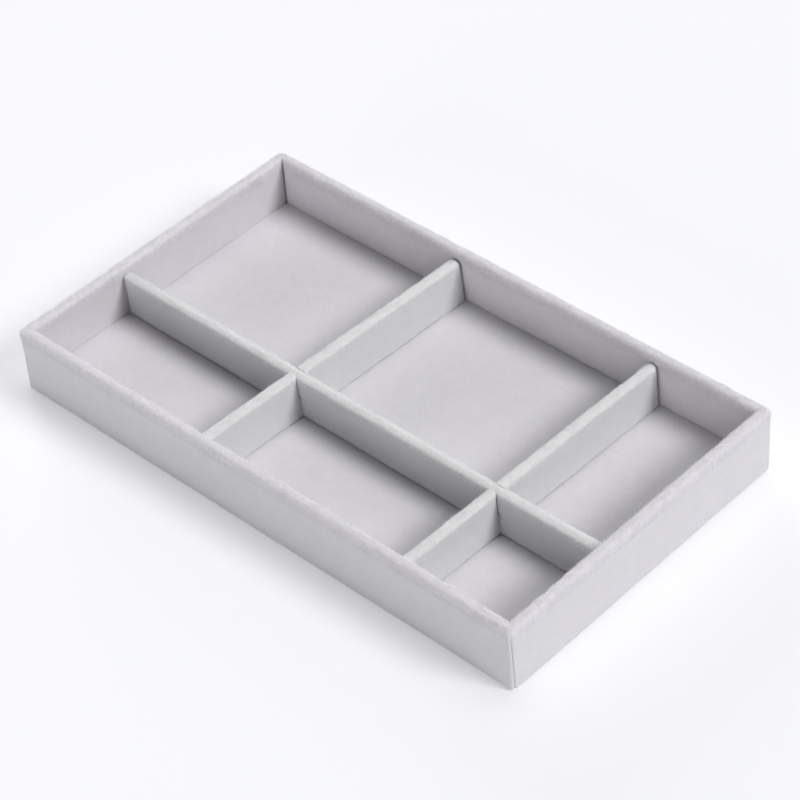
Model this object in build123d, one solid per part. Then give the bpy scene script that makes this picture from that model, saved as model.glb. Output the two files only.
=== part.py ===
from build123d import *
import os

# Jewelry tray in grey velvet: a fibreboard frame wrapped in one strip of velvet, a padded floor,
# and three slotted dividers that stand on the floor and lift out together.
# Millimetres. +Z is up, +X runs along the tray, +Y points to the back wall.
# The origin is the middle of the underside.

# Overall sizes
tray_length = 300.0
tray_width = 173.0
tray_height = 35.4

# Sheet and board thicknesses
velvet = 1.1
wall_board = 3.0
base_board = 3.0
divider_board = 3.4
pad_card = 1.5
pad_foam = 2.4
underside_felt = 0.5

# Soft edges and corners
rim_round = 2.0
foot_round = 0.8
corner_round = 2.0
divider_edge_round = 1.5
divider_corner_round = 2.4
felt_corner_round = 2.5
felt_inset = 2.6

# Open seam of the wrap at the front right corner, and slits between its inner flaps
seam_drop = 3.2
seam_gap_top = 0.4
seam_gap_foot = 1.1
flap_gap = 0.3
flap_drop = 2.4

# Floor pad
pad_gap = 0.4

# Dividers: height under the rim, places where they cross the tray's middle lines, and small
# angles that they were set down at
divider_drop = 4.3
divider_end_gap = 0.4
long_divider_y = -23.3
left_cross_x = -31.5
right_cross_x = 87.4
left_cross_angle = 1.8
right_cross_angle = 0.85

# Slots where two dividers are halved into each other
lap_gap = 0.5
lap_depth_share = 0.5
overrun = 1.0

# Sizes that follow from the ones above
wall = wall_board + 2 * velvet
divider = divider_board + 2 * velvet
inner_length = tray_length - 2 * wall
inner_width = tray_width - 2 * wall
base_top = underside_felt + base_board
floor_top = base_top + pad_card + pad_foam + velvet
divider_top = tray_height - divider_drop
divider_height = divider_top - floor_top
lap_level = floor_top + divider_height * lap_depth_share


def block(length, width, low, high, x=0.0, y=0.0):
    """Upright box centred on x, y between two heights."""
    box = Box(length, width, high - low, align=(Align.CENTER, Align.CENTER, Align.MIN))
    return Pos(x, y, low) * box


def rounded_block(length, width, low, high, radius):
    """The same with rounded upright corners."""
    outline = RectangleRounded(length, width, radius)
    return Pos(0, 0, low) * extrude(outline, high - low)


def long_wall_board(side):
    """Wall board along the whole length, on side -1 (front) or +1 (back)."""
    length = tray_length - 2 * velvet
    y = side * (tray_width / 2 - velvet - wall_board / 2)
    return block(length, wall_board, underside_felt + velvet, tray_height - velvet, 0, y)


def short_wall_board(side):
    """Wall board between the long ones, on side -1 (left) or +1 (right)."""
    width = tray_width - 2 * velvet - 2 * wall_board
    x = side * (tray_length / 2 - velvet - wall_board / 2)
    return block(wall_board, width, underside_felt + velvet, tray_height - velvet, x, 0)


def base_panel():
    """Base board, level with the wrap's turned-under edge."""
    length = tray_length - 2 * velvet - 2 * wall_board
    width = tray_width - 2 * velvet - 2 * wall_board
    return block(length, width, underside_felt, base_top)


def seam_cut():
    """Wedge that opens the wrap at the front right corner, wider at the foot."""
    top = tray_height - seam_drop
    reach = corner_round + velvet
    profile = Polyline(
        (-seam_gap_top / 2, top),
        (seam_gap_top / 2, top),
        (seam_gap_foot / 2, 0),
        (-seam_gap_foot / 2, 0),
        close=True,
    )
    wedge = extrude(make_face(Plane.XZ * profile), reach, both=True)
    turned = Rot(0, 0, 45) * wedge
    return Pos(tray_length / 2, -tray_width / 2, 0) * turned


def flap_slits():
    """Square gaps between the wrap's inner flaps, one in each inner corner."""
    side = velvet + flap_gap
    top = tray_height - velvet - flap_drop
    slits = []
    for sx in (-1, 1):
        for sy in (-1, 1):
            x = sx * (inner_length / 2 - flap_gap + side / 2)
            y = sy * (inner_width / 2 - flap_gap + side / 2)
            slits.append(block(side, side, base_top, top, x, y))
    return slits


def wall_wrap():
    """One strip of velvet round the outside, over the rim, down the inside and under the walls."""
    ring = rounded_block(tray_length, tray_width, underside_felt, tray_height, corner_round)
    ring -= block(inner_length, inner_width, 0, tray_height + overrun)
    rim = ring.faces().sort_by(Axis.Z)[-1]
    foot = ring.faces().sort_by(Axis.Z)[0]
    ring = fillet(foot.outer_wire().edges(), foot_round)
    ring = fillet(rim.edges(), rim_round)
    for side in (-1, 1):
        ring -= long_wall_board(side)
        ring -= short_wall_board(side)
    ring -= base_panel()
    for slit in flap_slits():
        ring -= slit
    return ring - seam_cut()


def felt_sheet():
    """Felt that covers the underside and carries the tray."""
    length = tray_length - 2 * felt_inset
    width = tray_width - 2 * felt_inset
    return rounded_block(length, width, 0, underside_felt, felt_corner_round)


def pad_core(low, high):
    """Layer of the floor pad inside its velvet."""
    length = inner_length - 2 * pad_gap - 2 * velvet
    width = inner_width - 2 * pad_gap - 2 * velvet
    return block(length, width, low, high)


def pad_cover():
    """Velvet over the pad's top and edges."""
    length = inner_length - 2 * pad_gap
    width = inner_width - 2 * pad_gap
    cover = block(length, width, base_top, floor_top)
    top = cover.faces().sort_by(Axis.Z)[-1]
    cover = fillet(top.edges(), velvet / 2)
    return cover - pad_core(base_top, floor_top - velvet)


def divider_outline(length, height, radius):
    """Upright outline with two rounded upper corners, from the floor up."""
    sheet = Rectangle(length, height, align=(Align.CENTER, Align.MIN))
    upper_corners = sheet.vertices().sort_by(Axis.Y)[-2:]
    return Plane.XZ * fillet(upper_corners, radius)


def divider_blank(length):
    """Covered divider as one block along X: soft everywhere but underneath."""
    blank = extrude(divider_outline(length, divider_height, divider_corner_round), divider / 2, both=True)
    soft_edges = []
    for side in blank.faces().filter_by(Axis.Y):
        soft_edges += side.edges().sort_by(Axis.Z)[1:]
    return Pos(0, 0, floor_top) * fillet(soft_edges, divider_edge_round)


def divider_core(length):
    """Bare board inside the cover."""
    board_length = length - 2 * velvet
    board_height = divider_height - velvet
    outline = divider_outline(board_length, board_height, divider_corner_round - velvet)
    return Pos(0, 0, floor_top) * extrude(outline, divider_board / 2, both=True)


def slot_cutter(low, high, reach):
    """Block a little thicker than a divider, along X, that cuts a lap slot."""
    return block(reach, divider + 2 * lap_gap, low, high)


def along_y(x, angle):
    """Place of a cross divider: along Y at x, with its back end turned towards +X."""
    return Pos(x, 0, 0) * Rot(0, 0, 90 - angle)


long_place = Pos(0, long_divider_y, 0)
cross_dividers = {
    "left_cross_divider": along_y(left_cross_x, left_cross_angle),
    "right_cross_divider": along_y(right_cross_x, right_cross_angle),
}


def long_divider(shape):
    """Long divider's board or cover, with its two slots open below."""
    placed = long_place * shape
    for place in cross_dividers.values():
        placed -= place * slot_cutter(0, lap_level + lap_gap / 2, tray_width)
    return placed


def cross_divider(shape, place):
    """Cross divider's board or cover, with its one slot open above."""
    return place * shape - long_place * slot_cutter(lap_level - lap_gap / 2, tray_height, tray_length)


def dividers():
    """Boards and velvet covers of the three dividers."""
    parts = {}
    length = inner_length - 2 * divider_end_gap
    core = divider_core(length)
    parts["long_divider_board"] = long_divider(core)
    parts["long_divider_velvet"] = long_divider(divider_blank(length) - core)
    for name, place in cross_dividers.items():
        length = inner_width - 2 * divider_end_gap
        core = divider_core(length)
        parts[name + "_board"] = cross_divider(core, place)
        parts[name + "_velvet"] = cross_divider(divider_blank(length) - core, place)
    return parts


def tray():
    """Every piece of the tray by name."""
    parts = {
        "base_board": base_panel(),
        "front_wall_board": long_wall_board(-1),
        "back_wall_board": long_wall_board(1),
        "left_wall_board": short_wall_board(-1),
        "right_wall_board": short_wall_board(1),
        "wall_velvet": wall_wrap(),
        "underside_felt": felt_sheet(),
        "pad_card": pad_core(base_top, base_top + pad_card),
        "pad_foam": pad_core(base_top + pad_card, floor_top - velvet),
        "pad_velvet": pad_cover(),
    }
    parts.update(dividers())
    return parts


os.makedirs("parts", exist_ok=True)
for name, shape in tray().items():
    export_step(shape, f"parts/{name}.step")
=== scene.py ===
"""Looks of a velvet jewelry tray round its packed boards.

The boards come from the packed part. This script makes what covers them: the strip of velvet round
the walls with its open seam, the padded floor, the covers of the halved dividers, the felt
underneath and the short pile along every soft edge, with their finishes and a plain studio.
Everything is in metres, in the part's own frame.
"""

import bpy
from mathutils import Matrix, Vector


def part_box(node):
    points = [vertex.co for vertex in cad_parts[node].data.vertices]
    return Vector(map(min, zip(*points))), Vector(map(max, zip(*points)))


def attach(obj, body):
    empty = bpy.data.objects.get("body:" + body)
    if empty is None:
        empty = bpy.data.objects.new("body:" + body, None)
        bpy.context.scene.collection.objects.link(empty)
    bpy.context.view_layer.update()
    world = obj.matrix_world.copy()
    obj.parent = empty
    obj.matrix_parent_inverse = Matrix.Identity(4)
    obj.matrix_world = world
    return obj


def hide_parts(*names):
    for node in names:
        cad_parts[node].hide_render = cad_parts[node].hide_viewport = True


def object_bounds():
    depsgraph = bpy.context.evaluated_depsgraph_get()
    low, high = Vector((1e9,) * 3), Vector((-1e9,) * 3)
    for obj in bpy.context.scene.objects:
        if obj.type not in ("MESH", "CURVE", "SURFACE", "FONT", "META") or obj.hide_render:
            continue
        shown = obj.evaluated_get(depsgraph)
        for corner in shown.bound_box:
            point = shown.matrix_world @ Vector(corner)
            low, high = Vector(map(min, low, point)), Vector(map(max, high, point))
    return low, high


bl_info = {
    "name": "Velvet Jewelry Tray",
    "version": (1, 0, 0),
    "blender": (4, 5, 0),
    "location": "View3D > Sidebar > Jewelry Tray",
    "description": "Covers the boards of a jewelry tray with velvet, felt and pile",
    "category": "Object",
}

import math

import bpy
import numpy as np
from bpy.props import FloatProperty, FloatVectorProperty, IntProperty, PointerProperty
from mathutils import Matrix, Vector

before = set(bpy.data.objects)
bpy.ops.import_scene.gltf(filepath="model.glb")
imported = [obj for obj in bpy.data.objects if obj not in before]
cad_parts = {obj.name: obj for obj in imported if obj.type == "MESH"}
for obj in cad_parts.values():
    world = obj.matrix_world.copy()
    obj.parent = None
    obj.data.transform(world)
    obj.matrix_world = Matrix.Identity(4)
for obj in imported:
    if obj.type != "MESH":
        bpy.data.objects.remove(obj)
CAD_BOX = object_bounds()

MM = 0.001
QUARTER_TURN = math.pi / 2
TRAY_BODY = "tray"
GRID_BODY = "divider_grid"
CROSS_NAMES = ("left_cross_divider", "right_cross_divider")

WRAP_LOW, WRAP_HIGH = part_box("wall_velvet")
FRONT_LOW, FRONT_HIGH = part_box("front_wall_board")
BASE_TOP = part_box("base_board")[1].z
PAD_LOW, PAD_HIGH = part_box("pad_velvet")
FOAM_LOW, FOAM_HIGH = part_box("pad_foam")
FELT_LOW, FELT_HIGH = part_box("underside_felt")
LONG_LOW, LONG_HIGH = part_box("long_divider_velvet")
CROSS_BOXES = {name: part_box(name + "_velvet") for name in CROSS_NAMES}

VELVET = FRONT_LOW.y - WRAP_LOW.y
WALL = FRONT_HIGH.y - WRAP_LOW.y + VELVET
DIVIDER = LONG_HIGH.y - LONG_LOW.y
LONG_Y = (LONG_LOW.y + LONG_HIGH.y) / 2

# Cloth: how thick it is against the CAD's velvet, and how its edges curl in and stand out
CLOTH_SHARE, PAD_CLOTH_SHARE = 0.97, 0.95
SHARP_ANGLE = math.radians(50)
TUFT_WIDTH = 0.0026
RAGGED_RANGE, RAGGED_SEED = (0.35, 1.65), 5
CURL_REACH = 0.0009
RIM_FADE = 1.2 * MM

# Waves: width of the wide ones, and depth of the small ones against theirs and their width
WRAP_WAVES, COVER_WAVES = (0.034, 0.35, 0.007), (0.028, 0.35, 0.006)
PAD_WAVES, SLAB_WAVES = (0.03, 0.3, 0.006), (0.02, 0.0, 0.005)
FOAM_WAVE, FELT_WAVE = 0.02 * MM, 0.015 * MM
WAVE_STRETCH = 3.0
SEED_STEP, RIPPLE_SEED, TUFT_SEED = 3.7, 11.0, 23.0

# Seam and creases: how far along the strip its end draws back, leans, rolls in and puckers
SEAM_OPENS = 22.0
PULL_REACH, LEAN_REACH, ROLL_REACH, PUCKER_REACH = 0.0015, 0.0028, 0.00045, 0.0012
SEAM_ROLL, PUCKER_DEPTH, CREASE_WIDTH = 0.0003, 0.00016, 0.0005
MERGED = 0.00001
FOLD_COUNT, CORNER_COUNT = 16, 24

# Grids: lines in millimetres from a cut edge, an inner corner and the seam, steps and roundings
CUT_LINES = (0, 0.12, 0.3, 0.5, 0.8, 1.3)
FLAP_LINES = (0, 0.15, 0.3, 0.5, 0.8, 1.3, 2.2)
END_LINES = (0, 0.1, 0.2, 0.32, 0.48, 0.7, 1.0, 1.3, 2.0)
WRAP_STEP, WRAP_STEPS, ARC_STEPS = 0.8 * MM, (2, 3, 8, 7, 2, 7, 7), 6
COVER_STEP, COVER_RISE, COVER_BULGE = 0.9 * MM, 2.8 * MM, 0.25 * MM
SIDE_STEPS, SLAB_ARC_STEPS, COVER_ARC_STEPS = 4, 5, 6
SLAB_CORNER_LINES, COVER_CORNER_LINES = (1, 0.55), (0.75, 1)

# Covers, as shares of a grid step, of an edge's rounding and of a divider's half length
TOO_CLOSE = 0.02
SNUG_REACH, SOFT_REACH = 2.2, 1.6
BOW_RATE, BOW_START = 2.2, 1.2
TINY = 1e-12

# Pad, foam and felt: grid steps, roundings, bulge of their sides and what they keep off the CAD
PAD_STEP, PAD_CORNER = 1.9 * MM, 1.2 * MM
FOAM_STEP, FOAM_EDGE, FOAM_CORNER, FOAM_BULGE = 4 * MM, 0.5 * MM, 0.8 * MM, 0.1 * MM
FELT_STEP, FELT_EDGE, FELT_CORNER, FELT_BULGE = 5 * MM, 0.3 * MM, 2.5 * MM, 0.05 * MM
FOAM_SHY, FELT_SHY = 0.03 * MM, 0.02 * MM
FOOT_INSET, DENT_REACH, CROWN_REACH = 0.4 * MM, 1.3 * MM, 9 * MM
FOOT_PILE_AND_HIGHLIGHT, FOOT_PILE_REACH, EDGE_PILE_AND_HIGHLIGHT = 0.6, 1.5 * MM, 0.7

# Standing fibres, as shares: of a fibre under its skin, of density and height in and between tufts
ROOT_SHARE = -0.12
CLUMP_SEED, CLUMP_GAIN, CLUMP_RANGE = 1.3, 1.1, (0.15, 2.2)
TUFT_RANGE, TUFT_GAIN, TUFT_BASE = (-0.6, 0.8), 0.6, 0.95
FIBRE_RANGE = (0.55, 1.25)
FULL_TURN = 6.283

# Materials: how often brush strokes repeat along each axis, roughness, and how flecks stand out
BRUSH_STROKES = (22.0, 22.0, 90.0)
VELVET_ROUGHNESS, PRESSED_ROUGHNESS = 0.92, 0.88
FLECK_WIDTH, FLECK_FROM, FLECK_EDGE = 2.3, 0.16, 9.0

# Stage, in metres but for the camera's sensor
SENSOR, NEAREST, FARTHEST = 36.0, 0.01, 50.0
FLOOR_REACH, FLOOR_GAP, LAMP_DISTANCE = 6.0, 0.1 * MM, 2

# Names of the sizes that two of the node trees take
SOFTEN_SIZES = ("Wave", "Wave width", "Ripple", "Ripple width", "Tufts", "Tuft width")
FOLD_SIZES = (
    *("Length", "Width", "Height", "Foot", "Inner foot", "Tuck", "Wall", "Corner rounding"),
    *("Rim rounding", "Foot rounding", "Seam drop", "Seam gap, top", "Seam gap, foot"),
    *("Seam lean", "Seam roll", "Inner crease", "Crease width"),
)


# Settings that a user would change


def a_length(name, description, default):
    """Setting in metres."""
    return FloatProperty(name=name, description=description, default=default, unit="LENGTH")


def an_angle(name, description, degrees):
    """Setting in degrees."""
    default = math.radians(degrees)
    return FloatProperty(name=name, description=description, default=default, subtype="ANGLE")


def a_number(name, description, default):
    """Setting without a unit."""
    return FloatProperty(name=name, description=description, default=default)


def a_vector(name, description, default, subtype="NONE"):
    """Setting of two or three numbers."""
    return FloatVectorProperty(
        name=name, description=description, default=default, size=len(default), subtype=subtype
    )


def a_colour(name, description, default):
    """Setting that is a colour."""
    return a_vector(name, description, default, "COLOR")


def a_group(kind, name):
    """Group of settings, described as its class is."""
    return PointerProperty(type=kind, name=name, description=kind.__doc__.rstrip("."))


def shown(settings):
    """The properties of a group without those that Blender adds to each."""
    added = ("rna_type", "name")
    return [prop for prop in settings.bl_rna.properties if prop.identifier not in added]


def by_name(settings):
    """The values of a group under the names that a user sees."""
    return {prop.name: getattr(settings, prop.identifier) for prop in shown(settings)}


class WrapSettings(bpy.types.PropertyGroup):
    """Velvet strip round the walls."""

    wall: a_length("Wall", "Wall board with velvet on both faces", WALL)
    rim_round: a_length("Rim rounding", "Radius of the rim's soft edges", 0.0020)
    corner_round: a_length("Corner rounding", "Radius of the outer corners", 0.0020)
    foot_round: a_length("Foot rounding", "Radius of the fold under the wall", 0.0008)
    seam_drop: a_length("Seam drop", "Height of unbroken rim over the open seam", 0.0030)
    seam_gap_top: a_length("Seam gap, top", "Width of the open seam under the rim", 0.0001)
    seam_gap_foot: a_length("Seam gap, foot", "Width of the open seam at the foot", 0.00022)
    seam_lean: a_length("Seam lean", "How far the seam's foot lies round the corner", 0.0009)
    crease: a_length("Inner crease", "Depth of the crease between two inner flaps", 0.0011)
    wave: a_length("Wave", "How far the velvet strays from flat", 0.00016)
    tufts: a_length("Tufts", "How far tufts of nap stand out along the rim", 0.00032)


class PadSettings(bpy.types.PropertyGroup):
    """Padded floor."""

    edge_round: a_length("Edge rounding", "Radius of the pad's upper edge", 0.0003)
    crown: a_length("Crown", "How far the foam swells between the dividers", 0.00022)
    dent: a_length("Dent", "How far a divider's foot presses the pad in", 0.00030)
    spread: a_length("Spread", "How far the pad swells towards the walls", 0.00036)
    wave: a_length("Wave", "How far the pad's velvet strays from flat", 0.00010)


class DividerSettings(bpy.types.PropertyGroup):
    """Velvet covers of the dividers."""

    edge_round: a_length("Edge rounding", "Radius of the covers' soft edges", 0.0016)
    long_corner: a_length("Long corners", "Radius of the long divider's upper corners", 0.0007)
    left_corner: a_length("Left corners", "Radius of the left divider's upper corners", 0.0022)
    right_corner: a_length("Right corners", "Radius of the right divider's upper corners", 0.0009)
    slot: a_length("Slot", "Width of a lap slot", DIVIDER + 0.0003)
    snug: a_vector("Snug", "How close a slot's upper edges come, in front and behind", (1.0, 0.55))
    curl: a_length("Curl", "How far the velvet curls in at a cut edge", 0.00045)
    left_turn: an_angle("Left turn", "Turn of the left cross divider", 1.8)
    right_turn: an_angle("Right turn", "Turn of the right cross divider", 0.85)
    left_lean: a_length("Left lean", "How far the left divider's top lies to the left", 0.0020)
    right_lean: a_length("Right lean", "How far the right divider's top lies to the left", 0.0014)
    bow: a_length("Bow", "How far the long divider's right end bends to the back", 0.0006)
    twist: a_length("Twist", "How far the long divider's top turns against its foot", 0.0008)
    wave: a_length("Wave", "How far the covers stray from flat", 0.00012)
    tufts: a_length("Tufts", "How far tufts of nap stand out along the edges", 0.00028)


class PileSettings(bpy.types.PropertyGroup):
    """Short pile that stands up along the soft edges."""

    length: a_length("Fibre length", "Length of one fibre", 0.0011)
    thickness: a_length("Fibre thickness", "Width of one fibre at its root", 0.00009)
    density: a_number("Fibres", "Fibres on a square metre of soft edge", 4.3e6)
    lean: an_angle("Lean", "How far fibres lean at most", 48)
    clumps: a_length("Clumps", "Distance between tufts of longer fibres", 0.0030)
    seed: IntProperty(
        name="Seed", description="Number that the fibres' places follow from", default=7
    )


class FinishSettings(bpy.types.PropertyGroup):
    """Colours of the materials."""

    tray_velvet: a_colour("Tray velvet", "Colour of the wrap and the pad", (0.676, 0.662, 0.694))
    divider_velvet: a_colour("Divider velvet", "Colour of the covers", (0.656, 0.656, 0.664))
    # Painted highlight: the rim and the dividers' soft edges are drawn paler, as where light
    # catches them
    tray_rub: a_number("Tray edge highlight", "How much paler the rim is", 0.09)
    divider_rub: a_number("Divider edge highlight", "How much paler the dividers' tops are", 0.11)
    sheen: a_number("Sheen", "Glow of the velvet's fibre tips", 1.0)
    # Painted light: the standing pile is a paler copy of the velvet, for light through its tips and
    # against the shade among its fibres
    pile_light_gain: a_number("Pile light gain", "How much paler the standing pile is", 1.38)
    felt: a_colour("Felt", "Colour of the felt underneath", (0.27, 0.26, 0.28))
    fibreboard: a_colour("Fibreboard", "Colour of the bare boards", (0.20, 0.17, 0.15))
    card: a_colour("Card", "Colour of the card in the pad", (0.32, 0.30, 0.27))
    foam: a_colour("Foam", "Colour of the foam in the pad", (0.70, 0.68, 0.62))


class StageSettings(bpy.types.PropertyGroup):
    """Camera, floor and light."""

    azimuth: an_angle("Azimuth", "Camera's direction round the tray", 45.9233)
    elevation: an_angle("Elevation", "Camera's height over the horizon", 41.891)
    roll: an_angle("Roll", "Camera's tilt about its own line of sight", -4.7098)
    distance: a_length("Distance", "Camera's distance from the tray", 1.3121813)
    aside: a_vector("Aside", "Camera's shift to its right and upwards", (0.0045731, 0.0121914))
    lens: a_number("Lens", "Focal length in millimetres", 129.8576)
    floor: a_colour("Floor", "Colour of the floor", (0.957, 0.960, 0.974))
    floor_glow: a_number("Floor glow", "Share of the floor that is seen without shadows", 0.42)
    sky: a_number("Sky", "Strength of the light from all round", 0.115)
    key: a_number("Key light", "Strength of the key light", 1.13)
    key_size: an_angle("Key size", "Angle that the key light fills", 46)
    key_place: a_vector("Key place", "Direction of the key light", (0.0, 0.36, 1.0))
    side: a_number("Side light", "Strength of the light from the right", 1.88)
    side_size: an_angle("Side size", "Angle that the side light fills", 20)
    side_place: a_vector("Side place", "Direction of the side light", (1.12, 0.37, 1.0))
    fill: a_number("Fill light", "Strength of the low fill light", 0.96)
    fill_size: an_angle("Fill size", "Angle that the fill light fills", 24)
    fill_place: a_vector("Fill place", "Direction of the fill light", (0.10, -1.0, 0.15))
    rim: a_number("Rim light", "Strength of the low light from behind", 1.70)
    rim_size: an_angle("Rim size", "Angle that the rim light fills", 28)
    rim_place: a_vector("Rim place", "Direction of the rim light", (-0.85, 0.50, 0.20))


class TraySettings(bpy.types.PropertyGroup):
    """All settings of the tray."""

    wrap: a_group(WrapSettings, "Wrap")
    pad: a_group(PadSettings, "Pad")
    dividers: a_group(DividerSettings, "Dividers")
    pile: a_group(PileSettings, "Pile")
    finish: a_group(FinishSettings, "Finish")
    stage: a_group(StageSettings, "Stage")


# Node trees


class Field:
    """Value in a node tree, worked on with ordinary signs."""

    def __init__(self, tree, socket):
        self.tree = tree
        self.socket = socket

    def math(self, operation, *others):
        made = self.tree.nodes.new("ShaderNodeMath")
        made.operation = operation
        for socket, value in zip(made.inputs, (self, *others)):
            feed(self.tree, socket, value)
        return Field(self.tree, made.outputs[0])

    def __add__(self, other):
        return self.math("ADD", other)

    def __sub__(self, other):
        return self.math("SUBTRACT", other)

    def __mul__(self, other):
        return self.math("MULTIPLY", other)

    def __truediv__(self, other):
        return self.math("DIVIDE", other)

    def clamped(self, low, high):
        return self.math("MAXIMUM", low).math("MINIMUM", high)

    def bell(self, width):
        """1 at zero, fading to nothing within about twice the width."""
        share = self / width
        return (share * share * -1.0).math("EXPONENT")


def feed(tree, socket, value):
    """Links a field to a socket, or sets the socket's own value."""
    if isinstance(value, Field):
        tree.links.new(value.socket, socket)
    else:
        socket.default_value = value


def node(tree, kind, inputs=None, output=0, **settings):
    """New node with its settings and inputs, as the field of one of its outputs."""
    made = tree.nodes.new(kind)
    for name, value in settings.items():
        setattr(made, name, value)
    for name, value in (inputs or {}).items():
        feed(tree, made.inputs[name], value)
    return Field(tree, made.outputs[output])


def several(tree, kind, inputs=None, **settings):
    """The same, as the fields of all its outputs."""
    first = node(tree, kind, inputs, **settings)
    return [Field(tree, socket) for socket in first.socket.node.outputs]


def given_inputs(tree):
    """The fields of a tree's own inputs, by name."""
    fields = several(tree, "NodeGroupInput")
    return {field.socket.name: field for field in fields if field.socket.name}


def geometry_tree(name, inputs):
    """Tree with a geometry in and out, the named inputs and a material, and their fields."""
    tree = bpy.data.node_groups.new(name, "GeometryNodeTree")
    tree.interface.new_socket("Geometry", in_out="INPUT", socket_type="NodeSocketGeometry")
    for label, kind in inputs.items():
        form = "NodeSocketInt" if kind == "INT" else "NodeSocketFloat"
        socket = tree.interface.new_socket(label, in_out="INPUT", socket_type=form)
        if kind not in ("INT", "NONE"):
            socket.subtype = kind
    tree.interface.new_socket("Material", in_out="INPUT", socket_type="NodeSocketMaterial")
    tree.interface.new_socket("Geometry", in_out="OUTPUT", socket_type="NodeSocketGeometry")
    return tree, given_inputs(tree)


def end_tree(tree, geometry, finish):
    """Makes the result plain, gives it its material and hands it out."""
    geometry = node(tree, "GeometryNodeSetShadeSmooth", {"Geometry": geometry})
    geometry = node(tree, "GeometryNodeRealizeInstances", {"Geometry": geometry})
    geometry = node(tree, "GeometryNodeSetMaterial", {"Geometry": geometry, "Material": finish})
    out = tree.nodes.new("NodeGroupOutput")
    tree.links.new(geometry.socket, out.inputs[0])
    return tree


def chosen(tree, kind, values):
    """The value whose place in the list is the point's own number."""
    made = tree.nodes.new("GeometryNodeIndexSwitch")
    made.data_type = kind
    while len(made.index_switch_items) < len(values):
        made.index_switch_items.new()
    feed(tree, made.inputs["Index"], node(tree, "GeometryNodeInputIndex"))
    for place, value in enumerate(values):
        feed(tree, made.inputs[1 + place], value)
    return Field(tree, made.outputs[0])


def combined(tree, x=0.0, y=0.0, z=0.0):
    return node(tree, "ShaderNodeCombineXYZ", {0: x, 1: y, 2: z})


def separated(tree, vector):
    """X, Y and Z of a vector."""
    return several(tree, "ShaderNodeSeparateXYZ", {0: vector})


def scaled(tree, vector, gain):
    """A vector or a colour times a gain."""
    return node(tree, "ShaderNodeVectorMath", {0: vector, "Scale": gain}, operation="SCALE")


def placed(tree, geometry, **place):
    """Geometry with its points at new positions, or moved by an offset."""
    return node(tree, "GeometryNodeSetPosition", {"Geometry": geometry, **place})


def rounded(tree, curve, count, radius):
    """Curve with rounded corners."""
    inputs = {"Curve": curve, "Count": count, "Radius": radius}
    return node(tree, "GeometryNodeFilletCurve", inputs, mode="POLY")


def section_curve(tree, size):
    """The wrap's section as a curve: X inwards from the outer face, Y up."""
    low, high, wall = size["Foot"], size["Height"], size["Wall"]
    corners = [
        combined(tree, size["Tuck"], low),
        combined(tree, 0.0, low),
        combined(tree, 0.0, high),
        combined(tree, wall, high),
        combined(tree, wall, size["Inner foot"]),
    ]
    line = node(tree, "GeometryNodeCurvePrimitiveLine")
    line = node(tree, "GeometryNodeResampleCurve", {"Curve": line, "Count": len(corners)})
    line = placed(tree, line, Position=chosen(tree, "VECTOR", corners))
    rim = size["Rim rounding"]
    radius = chosen(tree, "FLOAT", [0.0, size["Foot rounding"], rim, rim, 0.0])
    return rounded(tree, line, FOLD_COUNT, radius)


def outline_curve(tree, size):
    """The tray's outline, its length, and how far along it the seam's corner is."""
    length, width, corner = size["Length"], size["Width"], size["Corner rounding"]
    sides = {"Width": length, "Height": width}
    path = node(tree, "GeometryNodeCurvePrimitiveQuadrilateral", sides)
    path = rounded(tree, path, CORNER_COUNT, corner)
    total = node(tree, "GeometryNodeCurveLength", {"Curve": path})
    side = width - corner * 2.0
    arc = (total - side * 2.0 - (length - corner * 2.0) * 2.0) / 4.0
    return path, total, total - side - arc / 2.0


def place_at(tree, curve, distance):
    """X, Y and Z of the point at a distance along a curve."""
    inputs = {"Curves": curve, "Length": distance}
    point = node(tree, "GeometryNodeSampleCurve", inputs, output="Position", mode="LENGTH")
    return separated(tree, point)


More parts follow.
